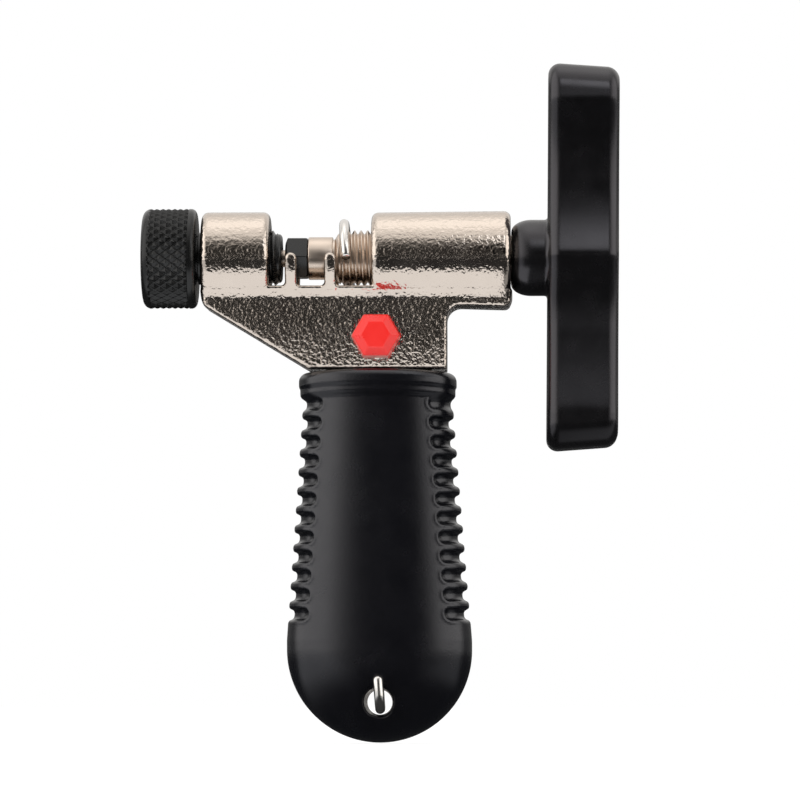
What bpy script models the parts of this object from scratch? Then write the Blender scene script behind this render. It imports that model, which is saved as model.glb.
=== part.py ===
"""Hand-held bicycle chain tool, built piece by piece.

Frame: metres, +Z up, +X along the drive screw towards the T-handle.  The origin is under the
grip's lowest point, in the casting's mid-plane (Y = 0).  Every rotating piece turns about the
screw axis, the line Y = 0, Z = AXIS_Z.
"""
import math

import bmesh
import bpy
from mathutils import Matrix, Vector

MM = 0.001
GAP = 0.3 * MM                      # clearance between neighbouring pieces

# screw line
AXIS_Z = 93.9 * MM
PITCH = 1.27 * MM
THREAD_R = 5.45 * MM
THREAD_DEPTH = 0.72 * MM
THREAD_SEGMENTS = 12
BORE_R = THREAD_R + 0.15 * MM

# casting
BOSS_R = 9.0 * MM
BOSS_FILLET = 1.4 * MM
LEFT_BOSS = (-34.65 * MM, -21.4 * MM)
RIGHT_BOSS = (-1.65 * MM, 25.3 * MM)
CRADLE_FLOOR_Z = 88.15 * MM
WEB_HALF_THICKNESS = 5.5 * MM
WEB_EDGE = 1.1 * MM
WEB_BOTTOM_Z = 72.0 * MM
WEB_TOP_Z = 87.0 * MM
WEB_LEFT_X = -34.2 * MM
WEB_KNEE_X = -13.7 * MM
WEB_RIGHT_X = 13.0 * MM
WEB_FOOT_R = 2.7 * MM                # inner corner below the right boss
WEB_SHOULDER_Z = 84.4 * MM
WEB_SHOULDER_R = 1.2 * MM
WEB_LEFT_Z = 85.3 * MM
WEB_LEFT_R = 1.5 * MM
BOSS_UNDERSIDE_Z = 84.1 * MM
TANG_HALF_WIDTH = 10.0 * MM
TANG_HALF_THICKNESS = 3.0 * MM
TANG_BOTTOM_Z = 24.0 * MM

# cradle prongs: each pair straddles the chain roller, one in front and one behind
PRONG_X = (-17.1 * MM, -9.5 * MM)
PRONG_THICKNESS = 2.2 * MM
PRONG_TIP_Z = 94.3 * MM
PRONG_INNER_Y = 4.75 * MM
PRONG_OUTER_R = 9.0 * MM
PRONG_FOOT_R = 0.8 * MM

# adjuster
ADJUSTER_END_X = -18.9 * MM
ADJUSTER_BORE_R = 2.3 * MM
ADJUSTER_PLAIN_R = 4.2 * MM
KNOB_X = (-46.1 * MM, -35.7 * MM)
KNOB_R = 9.7 * MM
KNOB_RIM = 1.5 * MM

# drive side
DOME_START_X = 25.9 * MM
NOSE = (-14.0 * MM, -9.2 * MM)
NOSE_R = 4.15 * MM
THREAD_START_X = -8.7 * MM
SPINDLE_HEAD_X = 37.0 * MM
SPINDLE_HEAD_R = 4.4 * MM
HOLDER_X = (-18.45 * MM, -14.1 * MM)
HOLDER_FLATS = 7.6 * MM
HOLDER_SPIGOT_R = 2.95 * MM
HOLDER_SPIGOT_END_X = -11.9 * MM
PIN_R = 1.65 * MM
PIN_HEAD_R = 2.2 * MM
PIN_HEAD_LENGTH = 1.0 * MM
PIN_LENGTH = 13.0 * MM

# T-handle
HUB_R = 7.2 * MM
DOME_LENGTH = 3.7 * MM
DOME_FACE_R = 5.2 * MM
BAR_X = (32.5 * MM, 46.5 * MM)
BAR_HALF_LENGTH = 37.8 * MM
BAR_DRAFT = 1.0 * MM
BAR_WAIST_HALF_DEPTH = 6.9 * MM
BAR_HUB_HALF_DEPTH = 9.4 * MM
BAR_LOBE_HALF_DEPTH = 9.0 * MM
BAR_HUB_REACH = 13.5 * MM
HUB_STATIONS = (0.7 * MM, 2.5 * MM, 5.0 * MM, 8.0 * MM)      # heights at which the hub's curve is sampled
LOBE_STATIONS = (20.0 * MM, 25.0 * MM)                       # and the lobe's
BAR_LOBE_START = 15.5 * MM
BAR_LOBE_CREST = 30.0 * MM
BAR_END_CORNER = 5.0 * MM
BAR_EDGE = 2.0 * MM

# grip
GRIP_X = -0.15 * MM
GRIP_TOP_Z = 71.6 * MM
COLLAR_BOTTOM_Z = 66.7 * MM
COLLAR_HALF_WIDTH = 15.3 * MM
GRIP_END_R = 17.9 * MM
FIRST_CREST_Z = 63.3 * MM
LAST_CREST_Z = 26.5 * MM
RIB_COUNT = 11
RIB_DEPTH = 1.2 * MM
RIB_REACH = 4.6 * MM
CREST_HALF_WIDTH = (14.7 * MM, 17.4 * MM)
GRIP_HALF_DEPTH = (9.8 * MM, 10.6 * MM)
HANG_HOLE_Z = 7.8 * MM
HANG_HOLE_R = 2.7 * MM

# spare pin store in the web
STORE_X = -0.65 * MM
STORE_Z = 78.3 * MM
STORE_R = 2.5 * MM
STORE_BACK_Y = 4.8 * MM
CAP_SEAT_R = 3.2 * MM
CAP_SEAT_DEPTH = 2.5 * MM
CAP_BASE_FLATS = 8.5 * MM
CAP_FLATS = 7.9 * MM
CAP_TOP_FLATS = 4.9 * MM
CAP_HEIGHT = 4.0 * MM
CAP_BEVEL = 1.3 * MM

# chain hook
WIRE_R = 0.95 * MM
HOOK_X = -6.55 * MM
HOOK_LOWER_X = 0.0 * MM
HOOK_LOOP_R = THREAD_R + WIRE_R + 0.2 * MM
HOOK_LEG_Y = 12.2 * MM
HOOK_FRONT_Y = -11.8 * MM
HOOK_LOOP_Z = AXIS_Z + 0.1 * MM
HOOK_TIP_Z = 92.9 * MM
HOOK_HOLE_Z = 6.5 * MM
HOOK_LOWER_TIP_Z = 13.2 * MM
HOOK_BEND_R = 2.6 * MM
HOOK_SHOULDER = ((7.5 * MM, 91.0 * MM), (8.5 * MM, 87.5 * MM), (9.7 * MM, 81.0 * MM), (11.3 * MM, 75.0 * MM),
                 (12.0 * MM, 71.5 * MM), (HOOK_LEG_Y, 66.0 * MM), (HOOK_LEG_Y, 35.0 * MM))


# ---------------------------------------------------------------- shared helpers

def clear_scene():
    for old in list(bpy.data.objects):
        bpy.data.objects.remove(old, do_unlink=True)


def material(name, color, roughness, metallic):
    made = bpy.data.materials.new(name)
    made.use_nodes = True
    shader = made.node_tree.nodes["Principled BSDF"]
    shader.inputs["Base Color"].default_value = (*color, 1.0)
    shader.inputs["Roughness"].default_value = roughness
    shader.inputs["Metallic"].default_value = metallic
    made.diffuse_color = (*color, 1.0)
    return made


def add_object(name, mesh, finish=None, smooth=True):
    made = bpy.data.objects.new(name, mesh)
    bpy.context.scene.collection.objects.link(made)
    if finish is not None:
        mesh.materials.append(finish)
    if smooth:
        mesh.shade_smooth()
        mesh.set_sharp_from_angle(angle=math.radians(35))
    return made


def mesh_from(bm, name):
    bmesh.ops.recalc_face_normals(bm, faces=bm.faces)
    mesh = bpy.data.meshes.new(name)
    bm.to_mesh(mesh)
    bm.free()
    return mesh


def arc(center, radius, start_deg, end_deg, steps):
    """Points of a circular arc in a plane, ends included."""
    points = []
    for step in range(steps + 1):
        angle = math.radians(start_deg + (end_deg - start_deg) * step / steps)
        points.append((center[0] + radius * math.cos(angle), center[1] + radius * math.sin(angle)))
    return points


def thread_stations(start_x, end_x, crest_r, depth):
    """Stations of a right-hand thread for turned(): each gives (x, r) for a fraction of a turn."""
    shape = ((0.0, 0.0), (0.14, 0.0), (0.5, 1.0), (0.64, 1.0))
    turns = math.ceil((end_x - start_x) / PITCH)

    def station(turn_index, place, sunk):
        def at(turn_fraction):
            x = start_x + PITCH * (turn_index + place + turn_fraction)
            if x <= start_x:
                return start_x, crest_r - depth
            if x >= end_x:
                return end_x, crest_r - depth
            return x, crest_r - depth * sunk
        return at

    return [station(turn, place, sunk) for turn in range(-1, turns + 1) for place, sunk in shape]


def turned(name, outline, finish, segments=32, solid=True, axis_z=AXIS_Z):
    """A turned piece about the X line at axis_z.

    outline runs along X as (x, r) pairs or thread stations.  A solid piece starts and ends on the
    axis; a hollow one's outline is a closed loop.
    """
    bm = bmesh.new()
    columns = []
    for column in range(segments + 1):
        fraction = column / segments
        angle = 2 * math.pi * fraction
        points = [entry(fraction) if callable(entry) else entry for entry in outline]
        columns.append([bm.verts.new((x, r * math.sin(angle), axis_z - r * math.cos(angle)))
                        for x, r in points])
    count = len(outline)
    last = count - 1 if solid else count
    for column in range(segments):
        here, there = columns[column], columns[column + 1]
        for row in range(last):
            following = (row + 1) % count
            bm.faces.new((here[row], here[following], there[following], there[row]))
    bmesh.ops.remove_doubles(bm, verts=bm.verts, dist=0.002 * MM)
    bmesh.ops.dissolve_degenerate(bm, edges=bm.edges, dist=0.001 * MM)
    return add_object(name, mesh_from(bm, name), finish)


def prism(name, outline, low, high, axis="Y", finish=None, smooth=False):
    """An outline extruded from low to high along one axis."""
    place = {"X": lambda a, b, c: (c, a, b), "Y": lambda a, b, c: (a, c, b)}[axis]
    bm = bmesh.new()
    near = [bm.verts.new(place(a, b, low)) for a, b in outline]
    far = [bm.verts.new(place(a, b, high)) for a, b in outline]
    bm.faces.new(near)
    bm.faces.new(far)
    for index in range(len(outline)):
        following = (index + 1) % len(outline)
        bm.faces.new((near[index], near[following], far[following], far[index]))
    return add_object(name, mesh_from(bm, name), finish, smooth)


def block(name, low, high):
    outline = [(low[0], low[2]), (high[0], low[2]), (high[0], high[2]), (low[0], high[2])]
    return prism(name, outline, low[1], high[1])


def rod(name, radius, start, end, segments=24):
    """A plain cylinder between two points on a line parallel to an axis."""
    bm = bmesh.new()
    start, end = Vector(start), Vector(end)
    turn = Vector((0, 0, 1)).rotation_difference(end - start).to_matrix().to_4x4()
    bmesh.ops.create_cone(bm, cap_ends=True, segments=segments, radius1=radius, radius2=radius,
                          depth=(end - start).length,
                          matrix=Matrix.Translation((start + end) / 2) @ turn)
    return add_object(name, mesh_from(bm, name), smooth=False)


def bevel(piece, width, segments=2, angle_deg=35):
    modifier = piece.modifiers.new("Bevel", "BEVEL")
    modifier.width = width
    modifier.segments = segments
    modifier.limit_method = "ANGLE"
    modifier.angle_limit = math.radians(angle_deg)
    modifier.use_clamp_overlap = True


def boolean(piece, operation, other):
    """Add a Boolean to piece; the other object becomes a hidden helper."""
    modifier = piece.modifiers.new(operation.title(), "BOOLEAN")
    modifier.operation = operation
    modifier.solver = "EXACT"
    modifier.object = other
    other.hide_render = True
    other.display_type = "WIRE"


def join(piece, *others):
    for other in others:
        boolean(piece, "UNION", other)


def cut(piece, *others):
    for other in others:
        boolean(piece, "DIFFERENCE", other)


# ---------------------------------------------------------------- casting

def boss_helper(name, ends):
    low, high = ends
    fillet = BOSS_FILLET
    left = [(low + x, BOSS_R - fillet + r) for x, r in arc((fillet, 0), fillet, 180, 90, 3)]
    right = [(high + x, BOSS_R - fillet + r) for x, r in arc((-fillet, 0), fillet, 90, 0, 3)]
    outline = [(low, 0.0)] + left + right + [(high, 0.0)]
    return turned(name, outline, None, segments=40)


def web_outline():
    """The flat web seen from the front, counter-clockwise from its lower left knee."""
    outline = [(WEB_KNEE_X, WEB_BOTTOM_Z), (WEB_RIGHT_X, WEB_BOTTOM_Z)]
    outline += arc((WEB_RIGHT_X + WEB_FOOT_R, WEB_SHOULDER_Z - WEB_FOOT_R), WEB_FOOT_R, 180, 90, 4)
    outline += arc((RIGHT_BOSS[1] - WEB_SHOULDER_R, BOSS_UNDERSIDE_Z + WEB_SHOULDER_R), WEB_SHOULDER_R,
                   -90, 0, 3)
    outline += [(RIGHT_BOSS[1], WEB_TOP_Z), (WEB_LEFT_X, WEB_TOP_Z)]
    outline += arc((WEB_LEFT_X + WEB_LEFT_R, WEB_LEFT_Z), WEB_LEFT_R, 180, 238, 3)
    return outline


def tang_outline():
    return [(GRIP_X - TANG_HALF_WIDTH, TANG_BOTTOM_Z), (GRIP_X + TANG_HALF_WIDTH, TANG_BOTTOM_Z),
            (GRIP_X + TANG_HALF_WIDTH, WEB_BOTTOM_Z + 2 * MM),
            (GRIP_X - TANG_HALF_WIDTH, WEB_BOTTOM_Z + 2 * MM)]


def prong_helper(name, x, side):
    """One prong: a slim upright with a rounded tip, its outer side on the bosses' cylinder."""
    half = PRONG_THICKNESS / 2
    foot = PRONG_FOOT_R
    base_z = CRADLE_FLOOR_Z - 1.0 * MM
    outline = [(x - half - foot, base_z), (x + half + foot, base_z)]
    outline += arc((x + half + foot, CRADLE_FLOOR_Z + foot), foot, 270, 180, 3)
    outline += arc((x, PRONG_TIP_Z - half), half, 0, 180, 6)
    outline += arc((x - half - foot, CRADLE_FLOOR_Z + foot), foot, 0, -90, 3)
    reach = sorted((side * PRONG_INNER_Y, side * (PRONG_OUTER_R + 1 * MM)))
    prong = prism(name, outline, reach[0], reach[1])
    limit = rod(name + "_limit", PRONG_OUTER_R - 0.05 * MM, (x - 4 * MM, 0, AXIS_Z),
                (x + 4 * MM, 0, AXIS_Z), segments=40)
    boolean(prong, "INTERSECT", limit)
    return prong


def build_casting(finish):
    casting = prism("body_casting", web_outline(), -WEB_HALF_THICKNESS, WEB_HALF_THICKNESS,
                    finish=finish)
    bevel(casting, WEB_EDGE, segments=2)
    spine_x = (LEFT_BOSS[1] - 2 * MM, RIGHT_BOSS[0] + 2 * MM)
    spine_r = BOSS_R - 0.02 * MM
    spine = turned("spine_helper", [(spine_x[0], 0.0), (spine_x[0], spine_r), (spine_x[1], spine_r),
                                    (spine_x[1], 0.0)], None, segments=40)
    cut(spine, block("spine_trim", (-40 * MM, -12 * MM, CRADLE_FLOOR_Z), (10 * MM, 12 * MM, 110 * MM)))
    tang = prism("tang_helper", tang_outline(), -TANG_HALF_THICKNESS, TANG_HALF_THICKNESS)
    join(casting, boss_helper("left_boss_helper", LEFT_BOSS),
         boss_helper("right_boss_helper", RIGHT_BOSS), spine, tang)
    for index, x in enumerate(PRONG_X):
        for side in (-1, 1):
            join(casting, prong_helper(f"prong_helper_{index}_{side + 1}", x, side))
    cut(casting,
        rod("left_bore", BORE_R, (-40 * MM, 0, AXIS_Z), (LEFT_BOSS[1] + 1 * MM, 0, AXIS_Z)),
        rod("right_bore", BORE_R, (RIGHT_BOSS[0] - 1 * MM, 0, AXIS_Z), (30 * MM, 0, AXIS_Z)),
        rod("store_bore", STORE_R, (STORE_X, -10 * MM, STORE_Z), (STORE_X, STORE_BACK_Y, STORE_Z)),
        rod("store_seat", CAP_SEAT_R, (STORE_X, -10 * MM, STORE_Z),
            (STORE_X, -WEB_HALF_THICKNESS + CAP_SEAT_DEPTH, STORE_Z)))
    return casting


# ---------------------------------------------------------------- adjuster

def build_adjuster_screw(finish):
    plain_start = KNOB_X[0] + 1.2 * MM
    thread_start = KNOB_X[1] + 0.4 * MM
    outline = [(plain_start, ADJUSTER_BORE_R), (plain_start, ADJUSTER_PLAIN_R - 0.3 * MM),
               (plain_start + 0.3 * MM, ADJUSTER_PLAIN_R),
               (thread_start, ADJUSTER_PLAIN_R)]
    outline += thread_stations(thread_start, ADJUSTER_END_X - 0.8 * MM, THREAD_R, THREAD_DEPTH)
    outline += [(ADJUSTER_END_X - 0.3 * MM, THREAD_R - THREAD_DEPTH),
                (ADJUSTER_END_X, THREAD_R - THREAD_DEPTH - 0.5 * MM),
                (ADJUSTER_END_X, ADJUSTER_BORE_R)]
    return turned("adjuster_screw", outline, finish, THREAD_SEGMENTS, solid=False)


def build_adjuster_knob(finish):
    low, high = KNOB_X
    bore = ADJUSTER_PLAIN_R + GAP
    mouth = ADJUSTER_BORE_R + 0.4 * MM
    outline = [(low, mouth)]
    outline += [(low + x, KNOB_R + r) for x, r in arc((KNOB_RIM, -KNOB_RIM), KNOB_RIM, 180, 90, 3)]
    outline += [(high + x, KNOB_R + r) for x, r in arc((-KNOB_RIM, -KNOB_RIM), KNOB_RIM, 90, 0, 3)]
    outline += [(high, bore), (low + 0.9 * MM, bore), (low + 0.9 * MM, mouth)]
    return turned("adjuster_knob", outline, finish, 40, solid=False)


# ---------------------------------------------------------------- drive side

def build_drive_screw(finish):
    """Threaded spindle: bored nose for the pin holder, blind bore, plain head in the T-handle."""
    bore_r = HOLDER_SPIGOT_R + GAP
    bore_end = HOLDER_SPIGOT_END_X + PIN_HEAD_LENGTH + 0.9 * MM
    outline = [(bore_end, 0.0), (bore_end, bore_r), (NOSE[0], bore_r),
               (NOSE[0], NOSE_R - 0.4 * MM), (NOSE[0] + 0.4 * MM, NOSE_R),
               (NOSE[1], NOSE_R), (NOSE[1], 3.7 * MM), (THREAD_START_X, 3.7 * MM)]
    outline += thread_stations(THREAD_START_X + 0.5 * MM, DOME_START_X - 0.6 * MM, THREAD_R, THREAD_DEPTH)
    outline += [(DOME_START_X - 0.3 * MM, SPINDLE_HEAD_R),
                (SPINDLE_HEAD_X, SPINDLE_HEAD_R), (SPINDLE_HEAD_X, 0.0)]
    return turned("drive_screw", outline, finish, THREAD_SEGMENTS)


def build_pin_holder(finish):
    """Hexagonal nut with a spigot; it clamps the pin's head in the spindle's nose."""
    corner_r = HOLDER_FLATS / 2 / math.cos(math.radians(30))
    hexagon = [(y, AXIS_Z + z) for y, z in arc((0, 0), corner_r, 0, 300, 5)]
    holder = prism("pin_holder", hexagon, HOLDER_X[0], HOLDER_X[1], axis="X", finish=finish)
    chamfer = 0.9 * MM
    envelope = turned("holder_envelope", [
        (HOLDER_X[0], 0.0), (HOLDER_X[0], corner_r - chamfer), (HOLDER_X[0] + chamfer, corner_r + 0.02 * MM),
        (HOLDER_X[1] - 0.3 * MM, corner_r + 0.02 * MM), (HOLDER_X[1], corner_r - 0.3 * MM),
        (HOLDER_X[1], 0.0)], None, segments=36)
    boolean(holder, "INTERSECT", envelope)
    join(holder, rod("holder_spigot", HOLDER_SPIGOT_R, (HOLDER_X[1] - 0.5 * MM, 0, AXIS_Z),
                     (HOLDER_SPIGOT_END_X, 0, AXIS_Z)))
    cut(holder, rod("holder_bore", PIN_R + 0.15 * MM, (HOLDER_X[0] - 1 * MM, 0, AXIS_Z),
                    (HOLDER_SPIGOT_END_X + 1 * MM, 0, AXIS_Z)))
    return holder


def headed_pin(name, finish):
    """The drive pin about the screw line: its head at the right, its working tip at the left."""
    head_end = HOLDER_SPIGOT_END_X + GAP + PIN_HEAD_LENGTH
    tip = head_end - PIN_LENGTH
    outline = [(tip, 0.0), (tip, PIN_R - 0.25 * MM), (tip + 0.25 * MM, PIN_R),
               (head_end - PIN_HEAD_LENGTH, PIN_R), (head_end - PIN_HEAD_LENGTH, PIN_HEAD_R),
               (head_end, PIN_HEAD_R), (head_end, 0.0)]
    return turned(name, outline, finish, 20)


def bar_half_depth(z):
    """Half depth of the T-bar at a height above its centre: a ridged hub, two waists and two lobes."""
    to_waist = max(0.0, 1 - abs(z) / BAR_HUB_REACH)
    to_crest = max(0.0, min(1.0, (abs(z) - BAR_LOBE_START) / (BAR_LOBE_CREST - BAR_LOBE_START)))
    hub = (BAR_HUB_HALF_DEPTH - BAR_WAIST_HALF_DEPTH) * to_waist ** 2
    lobe = (BAR_LOBE_HALF_DEPTH - BAR_WAIST_HALF_DEPTH) * to_crest ** 2
    return BAR_WAIST_HALF_DEPTH + hub + lobe


def bar_outline():
    """Outline of the T-bar seen along X, as (y, height above centre)."""
    corner, end = BAR_END_CORNER, BAR_HALF_LENGTH
    upper = [*HUB_STATIONS, BAR_HUB_REACH, BAR_LOBE_START, *LOBE_STATIONS, BAR_LOBE_CREST, end - corner]
    heights = [-z for z in reversed(upper)] + upper
    rising = [(bar_half_depth(z), z) for z in heights]
    lobe = BAR_LOBE_HALF_DEPTH
    top = arc((lobe - corner, end - corner), corner, 0, 90, 3)[1:]
    top += arc((-lobe + corner, end - corner), corner, 90, 180, 3)[:-1]
    right_half = rising + top
    return right_half + [(-y, -z) for y, z in right_half]


def build_t_handle(finish):
    outline = [(y, AXIS_Z + z) for y, z in bar_outline()]
    handle = prism("t_handle", outline, BAR_X[0], BAR_X[1], axis="X", finish=finish, smooth=True)
    outer_scale = 1 - BAR_DRAFT / BAR_HALF_LENGTH
    for vertex in handle.data.vertices:
        if vertex.co.x > (BAR_X[0] + BAR_X[1]) / 2:
            vertex.co.z = AXIS_Z + (vertex.co.z - AXIS_Z) * outer_scale
    bevel(handle, BAR_EDGE, segments=2, angle_deg=50)
    dome = [(DOME_START_X + DOME_LENGTH * (1 - math.cos(t)), DOME_FACE_R + (HUB_R - DOME_FACE_R) * math.sin(t))
            for t in (math.radians(90) * step / 4 for step in range(5))]
    hub = turned("hub_helper", [(DOME_START_X, 0.0)] + dome +
                 [(BAR_X[0] + 3 * MM, HUB_R), (BAR_X[0] + 3 * MM, 0.0)], None)
    join(handle, hub)
    cut(handle, rod("handle_socket", SPINDLE_HEAD_R + GAP, (DOME_START_X - 1 * MM, 0, AXIS_Z),
                    (SPINDLE_HEAD_X + GAP, 0, AXIS_Z)))
    return handle


# ---------------------------------------------------------------- grip

def crest_half_width(z):
    """Half width of the grip over the rib crests, widening downwards."""
    place = (FIRST_CREST_Z - z) / (FIRST_CREST_Z - LAST_CREST_Z)
    return CREST_HALF_WIDTH[0] + (CREST_HALF_WIDTH[1] - CREST_HALF_WIDTH[0]) * place


def grip_half_width(z):
    if z >= COLLAR_BOTTOM_Z:
        return COLLAR_HALF_WIDTH
    if z >= GRIP_END_R:
        return min(crest_half_width(z), GRIP_END_R)
    return math.sqrt(max(0.0, GRIP_END_R ** 2 - (GRIP_END_R - z) ** 2))


def grip_half_depth(z):
    place = max(0.0, min(1.0, (COLLAR_BOTTOM_Z - z) / (COLLAR_BOTTOM_Z - GRIP_END_R)))
    depth = GRIP_HALF_DEPTH[0] + (GRIP_HALF_DEPTH[1] - GRIP_HALF_DEPTH[0]) * place
    if z >= COLLAR_BOTTOM_Z:
        return depth + 0.6 * MM
    if z < GRIP_END_R:
        depth *= max(0.0, 1 - ((GRIP_END_R - z) / GRIP_END_R) ** 4) ** 0.5
    return depth


def grip_levels():
    """Heights of the grip's sections from the bottom up, with the valley depth at each."""
    pitch = (FIRST_CREST_Z - LAST_CREST_Z) / (RIB_COUNT - 1)
    levels = [(GRIP_END_R * (1 - math.cos(math.radians(angle))), 0.0)
              for angle in (8, 18, 30, 42, 54, 66, 78, 90)]
    for rib in range(RIB_COUNT + 1):
        crest = LAST_CREST_Z + pitch * (rib - 1)
        levels += [(crest + 0.22 * pitch, 0.0), (crest + 0.38 * pitch, 1.0), (crest + 0.62 * pitch, 1.0),
                   (crest + 0.78 * pitch, 0.0)]
    levels += [(COLLAR_BOTTOM_Z - 0.6 * MM, 0.0), (COLLAR_BOTTOM_Z, -0.001), (COLLAR_BOTTOM_Z + 0.5 * MM, 0.0),
               (GRIP_TOP_Z - 0.9 * MM, 0.0)]
    return levels


def grip_section(z, sunk, points, inset=0.0):
    """Closed section of the grip at height z: a rounded oval, pressed in at its ribbed sides."""
    width, depth = grip_half_width(z) - inset, grip_half_depth(z) - inset
    section = []
    for index in range(points):
        angle = 2 * math.pi * index / points
        cos, sin = math.cos(angle), math.sin(angle)
        x = width * math.copysign(abs(cos) ** 0.8, cos)
        y = depth * math.copysign(abs(sin) ** 0.8, sin)
        edge = width - abs(x)
        if sunk > 0 and edge < RIB_REACH:
            push = RIB_DEPTH * sunk * min(1.0, (RIB_REACH - edge) / (0.5 * RIB_REACH))
            x -= math.copysign(push, x)
            y *= 1 - 0.06 * sunk
        section.append((GRIP_X + x, y, z))
    return section


def build_grip(finish):
    points = 26
    bm = bmesh.new()
    rings = [[bm.verts.new(point) for point in grip_section(z, sunk, points)] for z, sunk in grip_levels()]
    rings.append([bm.verts.new(point) for point in grip_section(GRIP_TOP_Z, 0.0, points, inset=0.9 * MM)])
    for lower, upper in zip(rings, rings[1:]):
        for index in range(points):
            following = (index + 1) % points
            bm.faces.new((lower[index], lower[following], upper[following], upper[index]))
    bottom = bm.verts.new((GRIP_X, 0, 0))
    for index in range(points):
        bm.faces.new((rings[0][(index + 1) % points], rings[0][index], bottom))
    bm.faces.new(rings[-1])
    grip = add_object("grip", mesh_from(bm, "grip"), finish)
    width, thickness = TANG_HALF_WIDTH + GAP, TANG_HALF_THICKNESS + GAP
    pocket = block("tang_pocket", (GRIP_X - width, -thickness, TANG_BOTTOM_Z - GAP),
                   (GRIP_X + width, thickness, GRIP_TOP_Z + 2 * MM))
    cut(grip, pocket, rod("hang_hole", HANG_HOLE_R, (GRIP_X, -15 * MM, HANG_HOLE_Z),
                          (GRIP_X, 15 * MM, HANG_HOLE_Z), segments=20))
    return grip


# ---------------------------------------------------------------- spare pin, cap and hook

def build_spare_pin(finish):
    """A second drive pin lying along Y in its store, head at the back."""
    pin = headed_pin("spare_pin", finish)
    head_end = HOLDER_SPIGOT_END_X + GAP + PIN_HEAD_LENGTH
    pin.data.transform(Matrix.Translation((-head_end, 0, -AXIS_Z)))
    pin.data.transform(Matrix.Rotation(math.radians(90), 4, "Z"))
    pin.location = (STORE_X, STORE_BACK_Y - GAP, STORE_Z)
    return pin


def build_spare_pin_cap(finish):
    """Hexagonal push-in cap: a bevelled head, a spigot and a blind bore for the pin's tip."""
    face_y = -WEB_HALF_THICKNESS - 0.15 * MM
    bm = bmesh.new()
    rings = []
    for flats, y in ((CAP_BASE_FLATS, face_y), (CAP_FLATS, face_y - CAP_HEIGHT + CAP_BEVEL),
                     (CAP_TOP_FLATS, face_y - CAP_HEIGHT)):
        corner_r = flats / 2 / math.cos(math.radians(30))
        rings.append([bm.verts.new((STORE_X + a, y, STORE_Z + b)) for a, b in arc((0, 0), corner_r, 0, 300, 5)])
    for near, far in zip(rings, rings[1:]):
        for index in range(6):
            following = (index + 1) % 6
            bm.faces.new((near[index], near[following], far[following], far[index]))
    bm.faces.new(rings[0])
    bm.faces.new(rings[-1])
    cap = add_object("spare_pin_cap", mesh_from(bm, "spare_pin_cap"), finish, smooth=False)
    bevel(cap, 0.25 * MM, segments=2, angle_deg=25)
    spigot_end = face_y + CAP_SEAT_DEPTH - GAP
    join(cap, rod("cap_spigot", CAP_SEAT_R - GAP, (STORE_X, face_y - 0.5 * MM, STORE_Z),
                  (STORE_X, spigot_end, STORE_Z)))
    cut(cap, rod("cap_bore", PIN_R + GAP, (STORE_X, face_y - CAP_HEIGHT + 0.7 * MM, STORE_Z),
                 (STORE_X, spigot_end + 1 * MM, STORE_Z), segments=20))
    return cap


def hook_route():
    """Centreline of the wire from its upper tip, over the screw, down the back, to its lower tip.

    Returned as (y, z); the wire leans a little, so x follows from the height.
    """
    route = [(-HOOK_LOOP_R, HOOK_TIP_Z)]
    route += arc((0, HOOK_LOOP_Z), HOOK_LOOP_R, 176, 0, 12)
    route += HOOK_SHOULDER
    route += arc((HOOK_LEG_Y - HOOK_BEND_R, HOOK_HOLE_Z + HOOK_BEND_R), HOOK_BEND_R, 0, -90, 4)
    route += arc((HOOK_FRONT_Y + HOOK_BEND_R, HOOK_HOLE_Z + HOOK_BEND_R), HOOK_BEND_R, 270, 180, 4)
    route += [(HOOK_FRONT_Y, HOOK_LOWER_TIP_Z)]
    return route


def build_chain_hook(finish):
    curve = bpy.data.curves.new("chain_hook", "CURVE")
    curve.dimensions = "3D"
    curve.bevel_depth = WIRE_R
    curve.bevel_resolution = 2
    curve.use_fill_caps = True
    route = hook_route()
    spline = curve.splines.new("POLY")
    spline.points.add(len(route) - 1)
    for point, (y, z) in zip(spline.points, route):
        lean = (z - HOOK_HOLE_Z) / (AXIS_Z - HOOK_HOLE_Z)
        point.co = (HOOK_LOWER_X + (HOOK_X - HOOK_LOWER_X) * lean, y, z, 1.0)
    hook = bpy.data.objects.new("chain_hook", curve)
    bpy.context.scene.collection.objects.link(hook)
    curve.materials.append(finish)
    return hook


def main():
    clear_scene()
    plated = material("nickel_casting", (0.62, 0.58, 0.54), 0.28, 1.0)
    steel = material("bright_steel", (0.66, 0.63, 0.58), 0.25, 1.0)
    black_steel = material("black_steel", (0.03, 0.03, 0.032), 0.4, 0.8)
    knob_black = material("black_knob", (0.022, 0.022, 0.024), 0.45, 0.3)
    handle_black = material("gloss_black_handle", (0.012, 0.012, 0.013), 0.25, 0.0)
    grip_black = material("black_grip", (0.018, 0.018, 0.02), 0.5, 0.0)
    cap_red = material("red_cap", (0.8, 0.03, 0.03), 0.35, 0.0)
    wire = material("nickel_wire", (0.7, 0.68, 0.66), 0.18, 1.0)
    build_casting(plated)
    build_grip(grip_black)
    build_adjuster_screw(black_steel)
    build_adjuster_knob(knob_black)
    build_drive_screw(steel)
    build_pin_holder(black_steel)
    headed_pin("drive_pin", steel)
    build_t_handle(handle_black)
    build_spare_pin(steel)
    build_spare_pin_cap(cap_red)
    build_chain_hook(wire)


main()
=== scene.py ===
import math

import bmesh
import bpy
import numpy as np
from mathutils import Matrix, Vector, noise


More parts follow.
